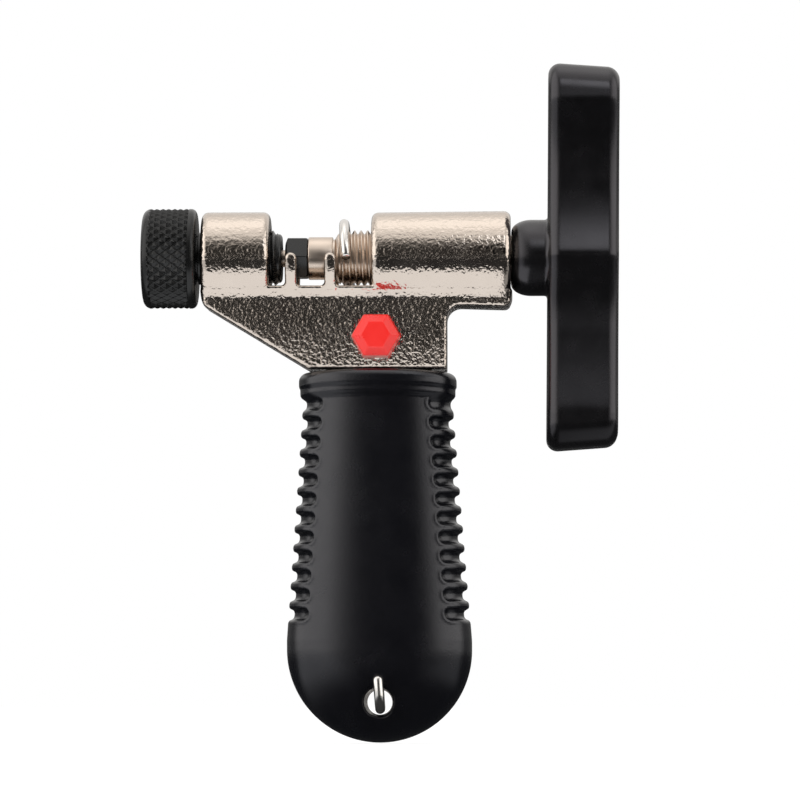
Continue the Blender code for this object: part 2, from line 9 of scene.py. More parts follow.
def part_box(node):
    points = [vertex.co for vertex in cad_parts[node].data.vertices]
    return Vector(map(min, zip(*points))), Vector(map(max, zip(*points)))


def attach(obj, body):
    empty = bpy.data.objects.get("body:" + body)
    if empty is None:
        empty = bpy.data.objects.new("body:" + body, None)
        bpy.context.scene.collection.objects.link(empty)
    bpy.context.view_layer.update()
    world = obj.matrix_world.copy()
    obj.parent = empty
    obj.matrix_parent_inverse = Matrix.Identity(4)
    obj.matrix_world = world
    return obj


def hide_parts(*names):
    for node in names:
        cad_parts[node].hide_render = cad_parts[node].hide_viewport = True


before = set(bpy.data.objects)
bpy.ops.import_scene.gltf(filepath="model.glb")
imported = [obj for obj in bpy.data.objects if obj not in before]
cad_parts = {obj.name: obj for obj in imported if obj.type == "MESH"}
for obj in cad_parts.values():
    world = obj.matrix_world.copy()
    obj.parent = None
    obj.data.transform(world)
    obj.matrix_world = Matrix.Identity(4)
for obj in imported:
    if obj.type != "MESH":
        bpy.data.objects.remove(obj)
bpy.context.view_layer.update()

# Shapes are worked out in millimetres and scaled to metres when their mesh is made.
MM = 0.001


def node_box(name):
    """Lowest and highest corner of a CAD node, in millimetres."""
    low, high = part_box(name)
    return np.array(low) / MM, np.array(high) / MM


# ---------------------------------------------------------------- places read from the frame

CASTING_LOW, CASTING_HIGH = node_box("body_casting")
GRIP_LOW, GRIP_HIGH = node_box("grip")
BAR_LOW, BAR_HIGH = node_box("t_handle")
KNOB_LOW, KNOB_HIGH = node_box("adjuster_knob")
SLEEVE_LOW, SLEEVE_HIGH = node_box("adjuster_screw")
SPINDLE_LOW, SPINDLE_HIGH = node_box("drive_screw")
HOLDER_LOW, HOLDER_HIGH = node_box("pin_holder")
PIN_LOW, PIN_HIGH = node_box("drive_pin")
SPARE_HIGH = node_box("spare_pin")[1]
CAP_LOW, CAP_HIGH = node_box("spare_pin_cap")
HOOK_LOW, HOOK_HIGH = node_box("chain_hook")

AXIS_Z = (PIN_LOW[2] + PIN_HIGH[2]) / 2
THREAD_R = SPINDLE_HIGH[1]
THREAD_DEPTH = 0.72
PITCH = 1.27
CREST_SHARE, FLANK_SHARE = 0.12, 0.76       # of half the pitch; the root takes the rest
RUN_OUT = 0.9                               # how steeply a thread rises at its ends

BOSS_R = CASTING_HIGH[2] - AXIS_Z
BOSS_LENGTHS = (13.25, 26.95)
LEFT_BOSS = (CASTING_LOW[0], CASTING_LOW[0] + BOSS_LENGTHS[0])
RIGHT_BOSS = (CASTING_HIGH[0] - BOSS_LENGTHS[1], CASTING_HIGH[0])
BOSS_EDGE = 1.3
BOSS_TAPER = 0.008                          # the right boss widens towards the T-handle
BORE_R = THREAD_R + 0.15
BORE_EDGE = 0.35
BORE_OVERRUN = 0.6
BRIDGE_HALF = 11.5
BRIDGE_EDGES = (0.2, 0.9)                   # along the sides, and along the cradle floor
FLOOR_Z = AXIS_Z - 5.75
WEB_HALF = 5.5
WEB_EDGE, WEB_FILLET = 0.6, 1.1
WEB_BOTTOM = GRIP_HIGH[2] + 0.4
WEB_KNEE_X = -13.7
WEB_RIGHT_X = CASTING_LOW[0] + 47.6
WEB_FOOT_R, WEB_SHOULDER_R, WEB_LEFT_R = 2.7, 1.2, 1.5
WEB_SHOULDER_Z, WEB_UNDERSIDE_Z, WEB_TOP_Z = AXIS_Z - 9.55, AXIS_Z - 8.6, AXIS_Z - 6.9
WEB_LEFT_INSET = 0.45
TANG_HALF = (10.0, 3.0)
TANG_STUB = 3.0                             # half the visible length of the tang, by the grip's mouth
TANG_EDGE = 0.5
PRONG_X = (-17.1, -9.5)
PRONG_HALF = 1.13
PRONG_TIP_Z = AXIS_Z + 0.4
PRONG_INNER_Y = 4.75
PRONG_FOOT, PRONG_OUTER_EDGE, PRONG_INNER_EDGE = 0.8, 0.7, 0.3
STORE = ((CAP_LOW[0] + CAP_HIGH[0]) / 2, (CAP_LOW[2] + CAP_HIGH[2]) / 2)
STORE_R, STORE_BACK_Y, STORE_EDGE = 2.5, 4.8, 0.1
SEAT_R, SEAT_DEPTH, SEAT_EDGE = 3.2, 2.5, 0.15

GRIP_X = (GRIP_LOW[0] + GRIP_HIGH[0]) / 2
GRIP_END_R = (GRIP_HIGH[0] - GRIP_LOW[0]) / 2
GRIP_TOP = GRIP_HIGH[2]
GRIP_LEAN = 0.0068                          # the sleeve leans a little towards the knob
HOLE_Z = 7.8
RIB_COUNT = 11
FIRST_CREST_Z = GRIP_TOP - 8.3
LAST_CREST_Z = GRIP_TOP - 45.1
RIB_PITCH = (FIRST_CREST_Z - LAST_CREST_Z) / (RIB_COUNT - 1)
CREST_WIDTH, CREST_WIDENING = 14.7, 2.7     # half width at the first crest, and its growth to the last
LEAST_WIDTH = 14.2
GRIP_DEPTHS = (10.6, 9.7)                   # half depth at the rounded end and below the collar
POCKET_R, POCKET_MOUTH_R = 1.18, 1.0        # half height of a pocket at its blind end and at its mouth
POCKET_REACH = (4.3, 4.9)                   # how far the pockets run in from the left and from the right side
POCKET_BLIND = 1.35                         # length of a pocket's rounded end
POCKET_DEPTH, TOP_POCKET_DEPTHS = 1.15, (0.8, 0.35)
POCKET_FLOOR_EDGE, POCKET_EDGE, MOUTH_EDGE = 0.85, 0.4, 0.9
LIP_HEIGHT, LIP_WIDTH = 0.16, 0.45          # the raised lip round each pocket
BEAD = (15.3, 10.4)                         # half width and half depth of the collar's bead
BEAD_ARCH, BEAD_HEIGHT = 0.6, 2.9
BEAD_EDGES = (1.5, 0.5)                     # above and below
STEP = (15.05, 10.2)                        # the slimmer step below the bead
STEP_HALF, STEP_DROP, STEP_EDGE = 1.6, 3.2, 0.7
HOLE_R, HOLE_FLARE, HOLE_EDGE = 2.4, 0.045, 0.7

COARSER = 1.0
VOXELS = {"casting": 0.29, "grip": 0.32, "handle": 0.3, "holder": 0.1, "cap": 0.1}
CAST_GRAIN = (0.6, 0.012)                   # size and depth of the casting's coarse grain


# ---------------------------------------------------------------- distance fields and their meshes

def rounded_max(a, b, radius):
    """Intersection of two solids given as distances, with the edge between them rounded."""
    corner = np.hypot(np.maximum(a + radius, 0), np.maximum(b + radius, 0))
    return np.minimum(np.maximum(a, b), -radius) + corner


def rounded_min(a, b, radius):
    """Union of two solids given as distances, with a fillet between them."""
    return -rounded_max(-a, -b, radius)


def polygon_distance(x, z, corners):
    """Signed distance to a closed polygon, negative inside."""
    nearest = np.full(np.shape(x), 1e9)
    inside = np.zeros(np.shape(x), bool)
    for (ax, az), (bx, bz) in zip(corners, corners[1:] + corners[:1]):
        ex, ez = bx - ax, bz - az
        along = np.clip(((x - ax) * ex + (z - az) * ez) / (ex * ex + ez * ez), 0, 1)
        nearest = np.minimum(nearest, (x - ax - along * ex) ** 2 + (z - az - along * ez) ** 2)
        crosses = (az > z) != (bz > z)
        with np.errstate(divide="ignore", invalid="ignore"):
            inside ^= crosses & (x < ax + ex * (z - az) / ez)
    return np.where(inside, -1, 1) * np.sqrt(nearest)


def sample(field, axes, voxel, block=24):
    """The field on a grid; blocks that the surface can't reach hold only their middle's value."""
    values = np.empty([len(axis) for axis in axes], np.float32)
    reach = 1.1 * voxel * block
    for i in range(0, len(axes[0]), block):
        for j in range(0, len(axes[1]), block):
            for k in range(0, len(axes[2]), block):
                part = [axis[start:start + block] for axis, start in zip(axes, (i, j, k))]
                middle = field(*[np.array([(p[0] + p[-1]) / 2]) for p in part])[0]
                if abs(middle) <= reach:
                    middle = field(*np.meshgrid(*part, indexing="ij"))
                values[i:i + block, j:j + block, k:k + block] = middle
    return values


def slope(field, points, step=0.02):
    """The field's gradient at points, by central differences."""
    columns = []
    for axis in range(3):
        shift = np.zeros(3)
        shift[axis] = step
        columns.append((field(*(points + shift).T) - field(*(points - shift).T)) / (2 * step))
    return np.stack(columns, 1)


def surface_points(field, low, high, voxel):
    """Points and quads of the surface where the field is 0, by surface nets."""
    low = np.array(low, float) - 2.3 * voxel
    counts = np.ceil((np.array(high) - low) / voxel).astype(int) + 4
    values = sample(field, [low[a] + voxel * np.arange(counts[a]) for a in range(3)], voxel)
    cells = np.array(values.shape) - 1
    quads, hits = [], []
    for axis in range(3):
        u, v = (axis + 1) % 3, (axis + 2) % 3
        step = np.eye(3, dtype=int)[axis]
        near = np.take(values, range(cells[axis]), axis)
        far = np.take(values, range(1, cells[axis] + 1), axis)
        edges = np.argwhere((near < 0) != (far < 0))
        edges = edges[(edges[:, u] > 0) & (edges[:, v] > 0)
                      & (edges[:, u] < cells[u]) & (edges[:, v] < cells[v])]
        start, end = values[tuple(edges.T)], values[tuple((edges + step).T)]
        hit = edges + (start / (start - end))[:, None] * step
        ring = []
        for du, dv in ((-1, -1), (0, -1), (0, 0), (-1, 0)):
            cell = edges.copy()
            cell[:, u] += du
            cell[:, v] += dv
            ring.append(np.ravel_multi_index(cell.T, cells))
        ring = np.stack(ring, 1)
        ring[start >= 0] = ring[start >= 0][:, ::-1]
        quads.append(ring)
        hits.append(np.repeat(hit, 4, axis=0))
    quads, hits = np.concatenate(quads), np.concatenate(hits)
    names, index = np.unique(quads.ravel(), return_inverse=True)
    amount = np.bincount(index, minlength=len(names))
    points = np.stack([np.bincount(index, hits[:, a], len(names)) / amount for a in range(3)], 1)
    return low + voxel * points, index.reshape(-1, 4)


def pull_onto(field, points, voxel, rounds=3):
    """Moves points onto the surface where the field is 0."""
    for _ in range(rounds):
        gradient = slope(field, points)
        size = np.maximum((gradient ** 2).sum(1), 0.1)
        step = gradient * (field(*points.T) / size)[:, None]
        points = points - np.clip(step, -0.4 * voxel, 0.4 * voxel)
    return points


def grain(points, size, seed):
    """Smooth random bumps from -1 to 1 about size millimetres across."""
    shift = Vector((seed, 2 * seed, -seed))
    return np.array([noise.noise(Vector(point) / size + shift) for point in points])


def mesh_piece(name, points, faces):
    """A new object from points in millimetres."""
    mesh = bpy.data.meshes.new(name)
    mesh.from_pydata((points * MM).tolist(), [], [list(face) for face in faces])
    mesh.validate()
    mesh.shade_smooth()
    piece = bpy.data.objects.new(name, mesh)
    bpy.context.scene.collection.objects.link(piece)
    return piece


def field_piece(name, field, low, high, voxel, bumps=()):
    """A piece whose surface is where the field is 0; bumps are (size, depth) pairs of cast grain."""
    voxel *= COARSER
    points, faces = surface_points(field, low, high, voxel)
    points = pull_onto(field, points, voxel)
    if bumps:
        outward = slope(field, points)
        outward /= np.maximum(np.linalg.norm(outward, axis=1), 1e-6)[:, None]
        lift = sum(depth * grain(points, size, seed) for seed, (size, depth) in enumerate(bumps, 3))
        points = points + outward * lift[:, None]
    return mesh_piece(name, points, faces)


# ---------------------------------------------------------------- turned pieces

def arc(center, radius, start_deg, end_deg, steps=8):
    angles = np.radians(np.linspace(start_deg, end_deg, steps + 1))
    return [(center[0] + radius * math.cos(a), center[1] + radius * math.sin(a)) for a in angles]


def thread_rows(start, end, per_turn=18):
    """Rows of a right-hand thread for turned_piece: each gives x and r for a fraction of a turn."""
    root = THREAD_R - THREAD_DEPTH
    rows = range(-per_turn, int(math.ceil((end - start) / PITCH)) * per_turn)

    def row(index):
        place = (index % per_turn) / per_turn
        flank = np.clip((1 - abs(2 * place - 1) - CREST_SHARE) / FLANK_SHARE, 0, 1)
        sunk = 0.7 * flank + 0.3 * flank * flank * (3 - 2 * flank)

        def at(turn):
            x = np.clip(start + PITCH * (index / per_turn + turn), start, end)
            run_out = np.minimum(x - start, end - x)
            r = np.minimum(THREAD_R - THREAD_DEPTH * sunk, root + RUN_OUT * run_out)
            return x, np.where((x <= start) | (x >= end), root, r)
        return at

    return [row(index) for index in rows]


def turned_piece(name, outline, columns=96, closed=False, shape=None):
    """Turns an outline of (x, r) pairs and thread rows about the screw line.

    A closed outline makes a hollow piece.  shape may change r for given x, angle and row.
    """
    turn = np.arange(columns + 1) / columns
    rows = []
    for entry in outline:
        x, r = entry(turn) if callable(entry) else entry
        rows.append((np.broadcast_to(x, turn.shape), np.broadcast_to(r, turn.shape)))
    x, r = np.array([row[0] for row in rows]), np.array([row[1] for row in rows])
    angle = 2 * math.pi * turn[None, :]
    if shape is not None:
        r = shape(x, r, angle)
    points = np.stack([x, r * np.sin(angle), AXIS_Z - r * np.cos(angle)], -1)
    width = columns + 1
    last = len(outline) if closed else len(outline) - 1
    faces = [(i * width + j, (i + 1) % len(outline) * width + j,
              (i + 1) % len(outline) * width + j + 1, i * width + j + 1)
             for i in range(last) for j in range(columns)]
    piece = mesh_piece(name, points.reshape(-1, 3), faces)
    bm = bmesh.new()
    bm.from_mesh(piece.data)
    bmesh.ops.remove_doubles(bm, verts=bm.verts, dist=0.002 * MM)
    bmesh.ops.dissolve_degenerate(bm, edges=bm.edges, dist=0.001 * MM)
    bmesh.ops.recalc_face_normals(bm, faces=bm.faces)
    bm.to_mesh(piece.data)
    bm.free()
    piece.data.set_sharp_from_angle(angle=math.radians(40))
    return piece


# ---------------------------------------------------------------- casting

def web_corners():
    """The web seen from the front."""
    left_x = LEFT_BOSS[0] + WEB_LEFT_INSET
    corners = [(WEB_KNEE_X, WEB_BOTTOM), (WEB_RIGHT_X, WEB_BOTTOM)]
    corners += arc((WEB_RIGHT_X + WEB_FOOT_R, WEB_SHOULDER_Z - WEB_FOOT_R), WEB_FOOT_R, 180, 90)
    corners += arc((RIGHT_BOSS[1] - WEB_SHOULDER_R, WEB_UNDERSIDE_Z), WEB_SHOULDER_R, -90, 0)
    corners += [(RIGHT_BOSS[1], WEB_TOP_Z), (left_x, WEB_TOP_Z)]
    corners += arc((left_x + WEB_LEFT_R, WEB_UNDERSIDE_Z), WEB_LEFT_R, 180, 238)
    return corners


WEB_CORNERS = web_corners()


def casting_field(x, y, z):
    radial = np.hypot(y, z - AXIS_Z)
    right_mid, right_half = sum(RIGHT_BOSS) / 2, (RIGHT_BOSS[1] - RIGHT_BOSS[0]) / 2
    left_mid, left_half = sum(LEFT_BOSS) / 2, (LEFT_BOSS[1] - LEFT_BOSS[0]) / 2
    barrel = radial - BOSS_R
    left = rounded_max(barrel, np.abs(x - left_mid) - left_half, BOSS_EDGE)
    taper = BOSS_TAPER * (x - right_mid)
    right = rounded_max(barrel - taper, np.abs(x - right_mid) - right_half, BOSS_EDGE)
    bridge = rounded_max(barrel, np.abs(x - (LEFT_BOSS[1] + RIGHT_BOSS[0]) / 2) - BRIDGE_HALF, BRIDGE_EDGES[0])
    bridge = rounded_max(bridge, z - FLOOR_Z, BRIDGE_EDGES[1])
    for prong_x in PRONG_X:
        bridge = rounded_min(bridge, prong_field(x - prong_x, y, z, barrel), PRONG_FOOT)
    web = rounded_max(polygon_distance(x, z, WEB_CORNERS), np.abs(y) - WEB_HALF, WEB_EDGE)
    body = rounded_min(np.minimum(np.minimum(left, right), bridge), web, WEB_FILLET)
    tang = rounded_max(np.abs(x - GRIP_X) - TANG_HALF[0], np.abs(y) - TANG_HALF[1], TANG_EDGE)
    tang = np.maximum(tang, np.abs(z - WEB_BOTTOM + 1) - TANG_STUB)
    body = np.minimum(body, tang)
    bore = radial - BORE_R
    body = rounded_max(body, -np.maximum(bore, x - LEFT_BOSS[1] - BORE_OVERRUN), BORE_EDGE)
    body = rounded_max(body, -np.maximum(bore, RIGHT_BOSS[0] - BORE_OVERRUN - x), BORE_EDGE)
    store = np.hypot(x - STORE[0], z - STORE[1])
    body = rounded_max(body, -np.maximum(store - STORE_R, y - STORE_BACK_Y), STORE_EDGE)
    return rounded_max(body, -np.maximum(store - SEAT_R, y + WEB_HALF - SEAT_DEPTH), SEAT_EDGE)


def prong_field(dx, y, z, barrel):
    """A pair of cradle prongs, in front of and behind the chain roller."""
    upright = np.hypot(dx, np.maximum(z - PRONG_TIP_Z + PRONG_HALF, 0)) - PRONG_HALF
    upright = np.maximum(upright, FLOOR_Z - 2 - z)
    upright = rounded_max(upright, barrel + 0.05, PRONG_OUTER_EDGE)
    return rounded_max(upright, PRONG_INNER_Y - np.abs(y), PRONG_INNER_EDGE)


def make_casting():
    low = (CASTING_LOW[0], CASTING_LOW[1], WEB_BOTTOM - TANG_STUB - 1.5)
    return field_piece("casting_surface", casting_field, low, CASTING_HIGH, VOXELS["casting"],
                       bumps=(CAST_GRAIN,))


# ---------------------------------------------------------------- grip

def grip_half_width(z):
    place = (FIRST_CREST_Z - z) / (FIRST_CREST_Z - LAST_CREST_Z)
    return np.clip(CREST_WIDTH + CREST_WIDENING * place, LEAST_WIDTH, GRIP_END_R)


def oval_distance(across, y, drop, width, depth, squareness=2.5):
    """Distance to the grip's rounded oval; drop is how far below the end's centre a point lies."""
    u = np.sqrt((across / width) ** 2 + (drop / GRIP_END_R) ** 2) + 1e-9
    v = np.abs(y) / depth + 1e-9
    g = (u ** squareness + v ** squareness) ** (1 / squareness)
    slope_u = (u / g) ** (squareness - 1) * np.sqrt((across / width ** 2) ** 2
                                                    + (drop / GRIP_END_R ** 2) ** 2) / u
    slope_v = (v / g) ** (squareness - 1) / depth
    return (g - 1) / np.sqrt(slope_u ** 2 + slope_v ** 2)


def grip_field(x, y, z):
    """A rounded oval with pockets pressed into its sides, and a collar that is a bead over a slimmer step."""
    across = x - GRIP_X + GRIP_LEAN * (z - GRIP_END_R)
    drop = np.minimum(z - GRIP_END_R, 0)
    width = grip_half_width(z)
    depth = np.interp(z, (GRIP_END_R, GRIP_TOP - 5), GRIP_DEPTHS)
    skin = oval_distance(across, y, drop, width, depth)
    body = rounded_max(skin, z - (GRIP_TOP - 2), 0.3)
    middle = LAST_CREST_Z - RIB_PITCH / 2
    index = np.clip(np.round((z - middle) / RIB_PITCH), 0, RIB_COUNT)
    away = z - middle - index * RIB_PITCH
    reach = np.where(across < 0, *POCKET_REACH)
    inner = width - reach + POCKET_BLIND
    mouth = np.clip((np.abs(across) - inner) / 3, 0, 1)          # 0 at the blind end, 1 at the side
    pocket = np.hypot(np.maximum(inner - np.abs(across), 0), away) - POCKET_R
    pocket = pocket + (POCKET_R - POCKET_MOUTH_R) * mouth
    depth_limit = np.where(index < RIB_COUNT, POCKET_DEPTH, np.where(across < 0, *TOP_POCKET_DEPTHS))
    carve = rounded_max(pocket, -(skin + depth_limit), POCKET_FLOOR_EDGE)
    lip = LIP_HEIGHT * np.exp(-(pocket / LIP_WIDTH) ** 2)
    body = rounded_max(body - lip, -carve, POCKET_EDGE + (MOUTH_EDGE - POCKET_EDGE) * mouth)
    arch = GRIP_TOP + 0.25 - BEAD_ARCH * (across / BEAD[0]) ** 2
    bead = rounded_max(oval_distance(across, y, 0 * z, *BEAD), z - arch, BEAD_EDGES[0])
    bead = rounded_max(bead, arch - BEAD_HEIGHT - z, BEAD_EDGES[1])
    step = rounded_max(oval_distance(across, y, 0 * z, *STEP),
                       np.abs(z - arch + STEP_DROP) - STEP_HALF, STEP_EDGE)
    body = rounded_min(body, rounded_min(bead, step, 0.3), 0.5)
    hole = np.hypot(across, z - HOLE_Z) - HOLE_R - HOLE_FLARE * np.abs(y)
    return rounded_max(body, -hole, HOLE_EDGE)


def make_grip():
    return field_piece("grip_sleeve", grip_field, GRIP_LOW, GRIP_HIGH, VOXELS["grip"])


# ---------------------------------------------------------------- T-handle

BAR_WIDTH = 13.8
BAR_START_X = BAR_HIGH[0] - BAR_WIDTH
BAR_HALF_LENGTH = (BAR_HIGH[2] - BAR_LOW[2]) / 2 - 0.05
BAR_LEAN = 0.0075                           # the bar's top stands a little further out than its foot
BAR_END_CORNER, BAR_EDGE = 5.0, 2.4
WAIST_HALF_DEPTH = 6.9
HUB_RISE, HUB_REACH, HUB_RIDGE_R = 2.5, 13.5, 0.9
LOBE_RISE, LOBE_START, LOBE_CREST, LOBE_LENGTH, LOBE_RIDGE_R = 2.1, 15.5, 30.7, 14.5, 1.2
DOME_LENGTH, DOME_FACE_R, DOME_RISE = 3.9, 5.0, 2.4
SOCKET_R, SOCKET_END_GAP = 4.7, 0.3
DOME_X = BAR_LOW[0] - 0.25


def bar_half_depth(height):
    """Half depth of the bar: a ridged hub in the middle, two waists hollowed for the fingers, two lobes."""
    away = np.hypot(height, HUB_RIDGE_R)
    crest = LOBE_CREST - np.hypot(np.minimum(away - LOBE_CREST, 0), LOBE_RIDGE_R)
    hub = HUB_RISE * np.clip(1 - away / HUB_REACH, 0, 1) ** 2
    return WAIST_HALF_DEPTH + hub + LOBE_RISE * np.clip((crest - LOBE_START) / LOBE_LENGTH, 0, 1) ** 2


def handle_field(x, y, z):
    height = z - AXIS_Z
    x = x - BAR_LEAN * (height - BAR_HALF_LENGTH)
    depth = bar_half_depth(height)
    tilt = (bar_half_depth(height + 0.1) - bar_half_depth(height - 0.1)) / 0.2
    side = (np.abs(y) - depth) / np.sqrt(1 + tilt ** 2)
    length = BAR_HALF_LENGTH - (x - BAR_START_X) / (BAR_HIGH[0] - BAR_START_X)
    outline = rounded_max(side, np.abs(height) - length, BAR_END_CORNER)
    bar = rounded_max(outline, np.abs(x - (BAR_START_X + BAR_HIGH[0]) / 2) - BAR_WIDTH / 2, BAR_EDGE)
    radial = np.hypot(y, height)
    run = np.clip((x - DOME_X) / DOME_LENGTH, 0, 1)
    dome = (radial - DOME_FACE_R - DOME_RISE * np.sqrt(1 - (1 - run) ** 2)) * 0.8
    hub = rounded_max(dome, np.maximum(DOME_X - x, x - BAR_START_X - 3), 0.3)
    body = rounded_min(bar, hub, 0.5)
    socket = np.maximum(radial - SOCKET_R, x - SPINDLE_HIGH[0] - SOCKET_END_GAP)
    return np.maximum(body, -socket)


def make_handle():
    return field_piece("handle_moulding", handle_field, BAR_LOW, BAR_HIGH, VOXELS["handle"])


# ---------------------------------------------------------------- knob and adjuster

KNOB_R = (KNOB_HIGH[2] - KNOB_LOW[2]) / 2
KNURLS_ROUND = 36
KNURL_LENGTH = 2.3
KNURL_DEPTH, KNURL_HALF = 0.45, 0.46        # groove depth in mm, and half width as a share of the spacing
KNURL_BAND = (1.5, 1.4)                     # plain rims left of and right of the band
KNOB_RIMS = (1.6, 1.05)
KNOB_MOUTH_R, KNOB_BORE_R, KNOB_FACE = 2.75, 4.5, 0.9


def knurl(x, r, angle):
    """Presses crossed grooves into the knob's band, which leaves rows of diamonds."""
    start, end = KNOB_LOW[0] + KNURL_BAND[0], KNOB_HIGH[0] - KNURL_BAND[1]
    turns = KNURLS_ROUND * angle / (2 * math.pi)
    depth = np.zeros(np.broadcast(x, angle).shape)
    for direction in (1, -1):
        place = np.mod(turns + direction * (x - start) / KNURL_LENGTH, 1)
        depth = np.maximum(depth, np.clip(1 - np.minimum(place, 1 - place) / KNURL_HALF, 0, 1))
    edge = np.clip(np.minimum(x - start, end - x) / 0.15, 0, 1)
    outside = r > KNOB_R - 0.3
    return r - KNURL_DEPTH * depth * edge * outside


def make_knob():
    low, high = KNOB_LOW[0], KNOB_HIGH[0]
    outer_rim, rim = KNOB_RIMS
    outline = [(low, KNOB_MOUTH_R), (low, KNOB_BORE_R)]
    outline += arc((low + outer_rim, KNOB_R - outer_rim), outer_rim, 180, 90, 9)
    outline += [(x, KNOB_R) for x in np.linspace(low + outer_rim + 0.05, high - rim - 0.05, 80)]
    outline += arc((high - rim, KNOB_R - rim), rim, 90, 0, 8)
    outline += [(high, KNOB_BORE_R), (low + KNOB_FACE, KNOB_BORE_R), (low + KNOB_FACE, KNOB_MOUTH_R)]
    return turned_piece("knurled_knob", outline, KNURLS_ROUND * 16, closed=True, shape=knurl)


SLEEVE_BORE_R, SLEEVE_PLAIN_R, SLEEVE_NECK_R = 2.3, 4.2, 5.05


def make_adjuster():
    start, end = SLEEVE_LOW[0], SLEEVE_HIGH[0]
    root = THREAD_R - THREAD_DEPTH
    neck = KNOB_HIGH[0] + 0.3
    outline = [(start, SLEEVE_BORE_R), (start, SLEEVE_PLAIN_R - 0.3), (start + 0.3, SLEEVE_PLAIN_R),
               (neck, SLEEVE_PLAIN_R), (neck, SLEEVE_NECK_R - 0.15), (neck + 0.15, SLEEVE_NECK_R),
               (LEFT_BOSS[0] + 0.3, SLEEVE_NECK_R)]
    outline += thread_rows(LEFT_BOSS[0] + 0.4, end - 0.9)
    outline += [(end - 0.6, root), (end - 0.3, root - 0.25), (end - 0.2, root - 0.5),
                (end - 0.2, SLEEVE_BORE_R + 0.3), (end - 0.5, SLEEVE_BORE_R)]
    return turned_piece("adjuster_sleeve_thread", outline, closed=True)


# ---------------------------------------------------------------- drive side

NOSE_R, NOSE_LENGTH, NOSE_BORE_R, NECK_R = 4.15, 4.8, 3.25, 3.7
PIN_HEAD_ROOM = 1.9                         # from the holder's end to the bottom of the nose's bore
SPINDLE_HEAD_R = 4.4


def make_spindle():
    nose, nose_end = SPINDLE_LOW[0], SPINDLE_LOW[0] + NOSE_LENGTH
    bore_end, head_end = HOLDER_HIGH[0] + PIN_HEAD_ROOM, SPINDLE_HIGH[0]
    outline = [(bore_end, 0.0), (bore_end, NOSE_BORE_R), (nose, NOSE_BORE_R), (nose, NOSE_R - 0.3)]
    outline += arc((nose + 0.3, NOSE_R - 0.3), 0.3, 170, 90, 4)
    outline += [(nose_end - 0.2, NOSE_R), (nose_end - 0.06, NOSE_R - 0.06), (nose_end, NOSE_R - 0.2)]
    outline += [(nose_end, NECK_R), (nose_end + 0.4, NECK_R)]
    outline += thread_rows(nose_end + 1.0, DOME_X - 0.6)
    outline += [(DOME_X - 0.3, SPINDLE_HEAD_R), (head_end - 0.3, SPINDLE_HEAD_R),
                (head_end, SPINDLE_HEAD_R - 0.3), (head_end, 0.0)]
    return turned_piece("spindle_thread", outline)


def hexagon(a, b, half_flats, radius):
    """Distance to a hexagon with two flats facing along b."""
    tilted = 0.5 * b
    across = math.cos(math.radians(30)) * a
    first = np.abs(b) - half_flats
    second = np.abs(across + tilted) - half_flats
    third = np.abs(across - tilted) - half_flats
    return rounded_max(rounded_max(first, second, radius), third, radius)


HOLDER_HALF_FLATS = 3.8
HOLDER_NOSE_R, HOLDER_NOSE_SLOPE = 2.9, 2.6
HOLDER_REAR_R = 4.1
SPIGOT_R = 2.95
HOLDER_BORE_R = 1.8


def holder_field(x, y, z):
    """A hexagonal nut, turned to a cone in front, with a bored spigot behind."""
    height = z - AXIS_Z
    radial = np.hypot(y, height)
    start, end = HOLDER_LOW[0], SPINDLE_LOW[0] - 0.1
    flats = hexagon(y, height, HOLDER_HALF_FLATS, 0.12)
    ends = np.maximum(start - x, x - end)
    body = rounded_max(flats, ends, 0.08)
    cone = (radial - HOLDER_NOSE_R - HOLDER_NOSE_SLOPE * (x - start)) / math.hypot(1, HOLDER_NOSE_SLOPE)
    body = rounded_max(body, cone, 0.08)
    body = rounded_max(body, (radial - HOLDER_REAR_R + (x - end)) / math.sqrt(2), 0.08)
    spigot = rounded_max(radial - SPIGOT_R, np.maximum(start + 1 - x, x - HOLDER_HIGH[0]), 0.15)
    body = np.minimum(body, spigot)
    return rounded_max(body, HOLDER_BORE_R - radial, 0.1)


def make_holder():
    return field_piece("hexagon_holder", holder_field, HOLDER_LOW, HOLDER_HIGH, VOXELS["holder"])


PIN_R, PIN_HEAD_R, PIN_HEAD_LENGTH = 1.65, 2.2, 1.0
PIN_TIP_EDGE, PIN_HEAD_EDGE = 0.25, 0.15


def pin_outline(tip, head_end):
    """A pin with a rounded tip and a flat head."""
    tip_edge, edge, head_start = PIN_TIP_EDGE, PIN_HEAD_EDGE, head_end - PIN_HEAD_LENGTH
    outline = [(tip, 0.0), (tip, PIN_R - tip_edge)]
    outline += arc((tip + tip_edge, PIN_R - tip_edge), tip_edge, 170, 90, 4)
    outline += [(head_start - 0.05, PIN_R), (head_start, PIN_R + 0.05), (head_start, PIN_HEAD_R - edge)]
    outline += arc((head_start + edge, PIN_HEAD_R - edge), edge, 170, 90, 3)
    outline += arc((head_end - edge, PIN_HEAD_R - edge), edge, 90, 0, 3)
    return outline + [(head_end, 0.0)]


def make_drive_pin():
    return turned_piece("push_pin_turned", pin_outline(PIN_LOW[0], PIN_HIGH[0]), 64)


def make_spare_pin():
    pin = turned_piece("spare_pin_turned", pin_outline(PIN_LOW[0], PIN_HIGH[0]), 64)
    turn = np.array([[0, -1, 0], [1, 0, 0], [0, 0, 1.0]])
    points = np.array([v.co for v in pin.data.vertices]) / MM
    points = (points - (PIN_HIGH[0], 0, AXIS_Z)) @ turn.T + (STORE[0], SPARE_HIGH[1], STORE[1])
    pin.data.vertices.foreach_set("co", (points * MM).astype(np.float32).ravel())
    pin.data.update()
    return pin


# ---------------------------------------------------------------- cap and hook

